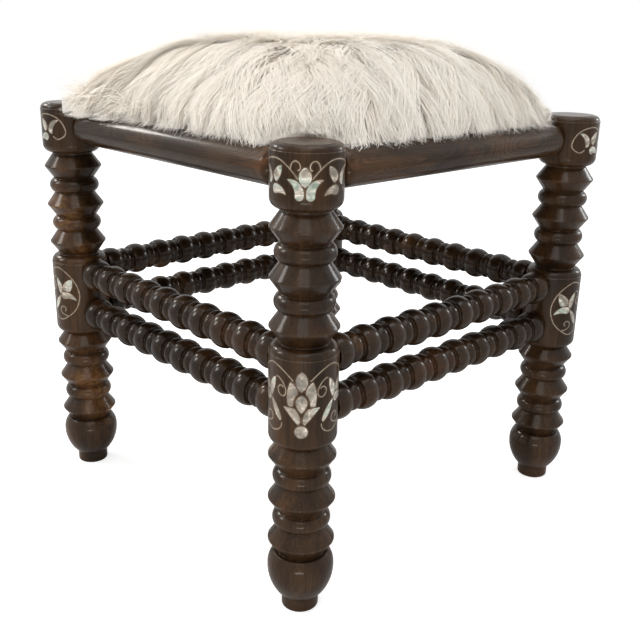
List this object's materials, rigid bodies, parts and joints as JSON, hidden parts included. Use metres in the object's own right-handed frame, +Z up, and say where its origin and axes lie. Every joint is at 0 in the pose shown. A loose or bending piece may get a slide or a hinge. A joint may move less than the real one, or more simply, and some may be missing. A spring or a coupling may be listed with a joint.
{
  "type": "stool",
  "caption": "Square low stool of dark turned wood with ringed legs, beaded stretchers, pearl and wire inlay on the legs, and a padded seat in long white fur",
  "frame": {"origin": "On the floor, midway between the four feet", "axes": "X to the right, Y to the back, Z up; a quarter turn about Z gives the same stool"},
  "size_m": [0.4676, 0.4676, 0.5184],
  "materials": {
    "turned_wood": "gloss lacquer",
    "pearl": "polished",
    "inlay_wire": "satin",
    "batten_wood": "planed",
    "plywood": "matt",
    "foam": "matt",
    "fur": "matt",
    "dust_cloth": "matt",
    "steel": "zinc plated"
  },
  "bodies": {
    "root": {"leg_front_right": "turned_wood", "cap_petals_front_right": "pearl", "cap_wires_front_right": "inlay_wire", "block_petals_front_right": "pearl", "block_wires_front_right": "inlay_wire", "leg_back_right": "turned_wood", "cap_petals_back_right": "pearl", "cap_wires_back_right": "inlay_wire", "block_petals_back_right": "pearl", "block_wires_back_right": "inlay_wire", "leg_back_left": "turned_wood", "cap_petals_back_left": "pearl", "cap_wires_back_left": "inlay_wire", "block_petals_back_left": "pearl", "block_wires_back_left": "inlay_wire", "leg_front_left": "turned_wood", "cap_petals_front_left": "pearl", "cap_wires_front_left": "inlay_wire", "block_petals_front_left": "pearl", "block_wires_front_left": "inlay_wire", "rail_front": "turned_wood", "stretcher_front_upper": "turned_wood", "stretcher_front_lower": "turned_wood", "cleat_front": "batten_wood", "rail_right": "turned_wood", "stretcher_right_upper": "turned_wood", "stretcher_right_lower": "turned_wood", "cleat_right": "batten_wood", "rail_back": "turned_wood", "stretcher_back_upper": "turned_wood", "stretcher_back_lower": "turned_wood", "cleat_back": "batten_wood", "rail_left": "turned_wood", "stretcher_left_upper": "turned_wood", "stretcher_left_lower": "turned_wood", "cleat_left": "batten_wood", "cleat_screws": "steel", "seat_screws": "steel", "staples": "steel", "seat_board": "plywood", "foam_pad": "foam", "fur_cover": "fur", "dust_cover": "dust_cloth"}
  },
  "joints": []
}
